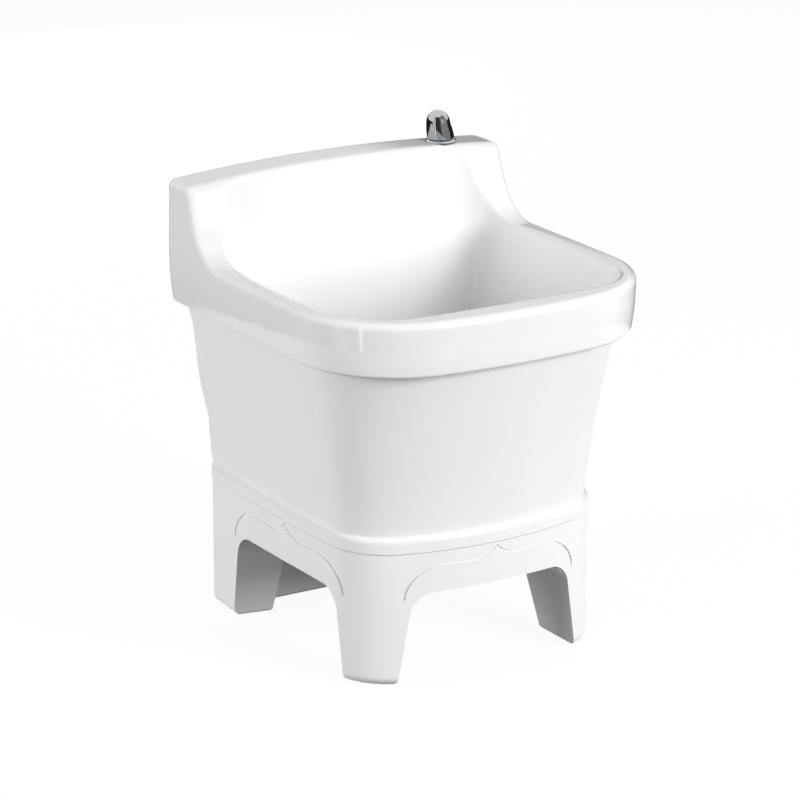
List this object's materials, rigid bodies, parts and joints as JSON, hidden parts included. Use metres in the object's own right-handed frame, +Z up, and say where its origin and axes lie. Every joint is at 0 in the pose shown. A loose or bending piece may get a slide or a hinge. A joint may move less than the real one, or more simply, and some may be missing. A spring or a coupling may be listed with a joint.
{
  "type": "utility laundry sink",
  "caption": "Deep glazed-ceramic utility sink with an arched backsplash, on a legged ceramic stand, with a chrome lift knob that works its stopper through a rod and a lever.",
  "frame": {"origin": "bottom centre of the bounding box, on the floor", "axes": "+Z up, -Y towards the front of the sink, +X to the right as seen from the front"},
  "size_m": [0.4635, 0.4721, 0.6168],
  "materials": {
    "glazed_ceramic": "glossy white glaze",
    "sealant": "cured silicone",
    "grey_rubber": "matt",
    "black_rubber": "matt",
    "chrome": "polished plate",
    "brass": "machined",
    "steel": "drawn and brushed",
    "white_plastic": "moulded"
  },
  "bodies": {
    "sink": {"basin": "glazed_ceramic", "stand": "glazed_ceramic", "bedding_seal": "sealant", "foot_pads": "grey_rubber", "knob_flange": "chrome", "flange_gasket": "black_rubber", "guide_bush": "brass", "guide_nut": "brass", "pivot_seat": "white_plastic", "pivot_nut": "white_plastic", "waste_flange": "chrome", "flange_seal": "black_rubber", "lower_gasket": "black_rubber", "friction_washer": "white_plastic", "back_nut": "brass", "waste_tee": "white_plastic", "tailpiece": "chrome", "tailpiece_washer": "black_rubber", "tailpiece_nut": "white_plastic"},
    "lift": {"lift_knob": "chrome", "knob_screw": "steel", "lift_rod": "steel", "rod_strap": "steel", "strap_screw": "steel", "spring_clip": "steel"},
    "lever": {"pivot_lever": "steel"},
    "stopper": {"stopper": "chrome", "stopper_seal": "black_rubber"}
  },
  "joints": [
    {"name": "knob_lift", "type": "slide", "parent": "sink", "child": "lift", "axis": [0, 0, 1], "range_m": [0, 0.044]},
    {"name": "lever_tilt", "type": "hinge", "parent": "sink", "child": "lever", "pos_m": [0.02302, 0.04288, 0.164], "axis": [0.7689, -0.6394, 0], "range_deg": [0, 12.32]},
    {"name": "stopper_drop", "type": "slide", "parent": "sink", "child": "stopper", "axis": [0, 0, 1], "range_m": [-0.00777, 0]}
  ],
  "couplings": [
    {"joint": "lever_tilt", "follows": "knob_lift", "rad_per_m": 4.886},
    {"joint": "stopper_drop", "follows": "knob_lift", "ratio": -0.17655}
  ]
}
